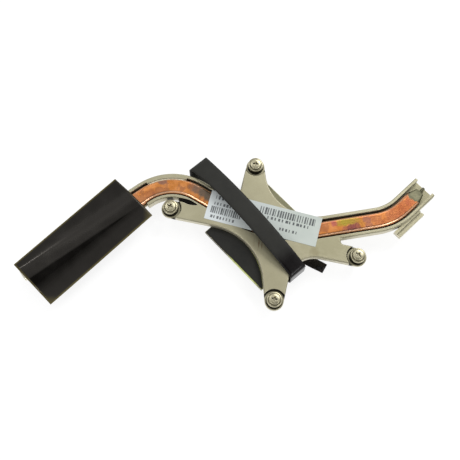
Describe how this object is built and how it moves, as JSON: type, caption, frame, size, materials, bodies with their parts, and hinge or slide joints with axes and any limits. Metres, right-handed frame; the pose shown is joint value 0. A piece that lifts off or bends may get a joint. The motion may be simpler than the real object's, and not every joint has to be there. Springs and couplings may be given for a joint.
{
  "type": "laptop heatsink",
  "caption": "Laptop processor heatsink: cast star bracket, captive screws, flattened copper heat pipe in a railed trough, film-covered fin stack, label and tape band.",
  "frame": {"origin": "centre of the contact face that lies on the processor", "axes": "+Z away from the processor, +X towards the pipe's sealed end and away from the fins, X and Y along the contact plate's sides"},
  "size_m": [0.1437, 0.0969, 0.0153],
  "materials": {
    "nickel_cast": "nickel-plated casting, satin",
    "nickel_plate": "nickel-plated, satin",
    "copper": "copper, tarnished, sealed end tinned",
    "fin_sheet": "thin folded sheet",
    "black_film": "glossy polyester film",
    "insulator": "matt insulating film",
    "label_stock": "printed bars, no words",
    "tape": "matt cloth tape",
    "screw_steel": "nickel-plated steel",
    "clip_steel": "spring steel"
  },
  "bodies": {
    "heatsink": {"contact_plate": "nickel_plate", "heat_pipe": "copper", "bracket": "nickel_cast", "insulating_film": "insulator", "fin_01": "fin_sheet", "fin_02": "fin_sheet", "fin_03": "fin_sheet", "fin_04": "fin_sheet", "fin_05": "fin_sheet", "fin_06": "fin_sheet", "fin_07": "fin_sheet", "fin_08": "fin_sheet", "fin_09": "fin_sheet", "fin_10": "fin_sheet", "fin_11": "fin_sheet", "fin_12": "fin_sheet", "fin_13": "fin_sheet", "fin_14": "fin_sheet", "fin_15": "fin_sheet", "fin_16": "fin_sheet", "fin_17": "fin_sheet", "fin_18": "fin_sheet", "fin_19": "fin_sheet", "fin_20": "fin_sheet", "fin_21": "fin_sheet", "fin_22": "fin_sheet", "fin_23": "fin_sheet", "fin_24": "fin_sheet", "fin_25": "fin_sheet", "fin_26": "fin_sheet", "fin_27": "fin_sheet", "fin_28": "fin_sheet", "fin_29": "fin_sheet", "fin_30": "fin_sheet", "fin_31": "fin_sheet", "fin_film": "black_film", "label": "label_stock", "tape_band": "tape"},
    "clip_left": {"retaining_clip_left": "clip_steel"},
    "screw_left": {"captive_screw_left": "screw_steel"},
    "clip_top": {"retaining_clip_top": "clip_steel"},
    "screw_top": {"captive_screw_top": "screw_steel"},
    "clip_right": {"retaining_clip_right": "clip_steel"},
    "screw_right": {"captive_screw_right": "screw_steel"},
    "clip_bottom": {"retaining_clip_bottom": "clip_steel"},
    "screw_bottom": {"captive_screw_bottom": "screw_steel"}
  },
  "joints": [
    {"name": "screw_left_travel", "type": "slide", "parent": "heatsink", "child": "clip_left", "axis": [0, 0, 1], "range_m": [-0.0018, 0]},
    {"name": "screw_left_turn", "type": "hinge", "parent": "clip_left", "child": "screw_left", "pos_m": [-0.0203, 0.0329, 0], "axis": [0, 0, 1], "continuous": true},
    {"name": "screw_top_travel", "type": "slide", "parent": "heatsink", "child": "clip_top", "axis": [0, 0, 1], "range_m": [-0.0018, 0]},
    {"name": "screw_top_turn", "type": "hinge", "parent": "clip_top", "child": "screw_top", "pos_m": [0.0176, 0.0228, 0], "axis": [0, 0, 1], "continuous": true},
    {"name": "screw_right_travel", "type": "slide", "parent": "heatsink", "child": "clip_right", "axis": [0, 0, 1], "range_m": [-0.0018, 0]},
    {"name": "screw_right_turn", "type": "hinge", "parent": "clip_right", "child": "screw_right", "pos_m": [0.0203, -0.0329, 0], "axis": [0, 0, 1], "continuous": true},
    {"name": "screw_bottom_travel", "type": "slide", "parent": "heatsink", "child": "clip_bottom", "axis": [0, 0, 1], "range_m": [-0.0018, 0]},
    {"name": "screw_bottom_turn", "type": "hinge", "parent": "clip_bottom", "child": "screw_bottom", "pos_m": [-0.0162, -0.0232, 0], "axis": [0, 0, 1], "continuous": true}
  ]
}
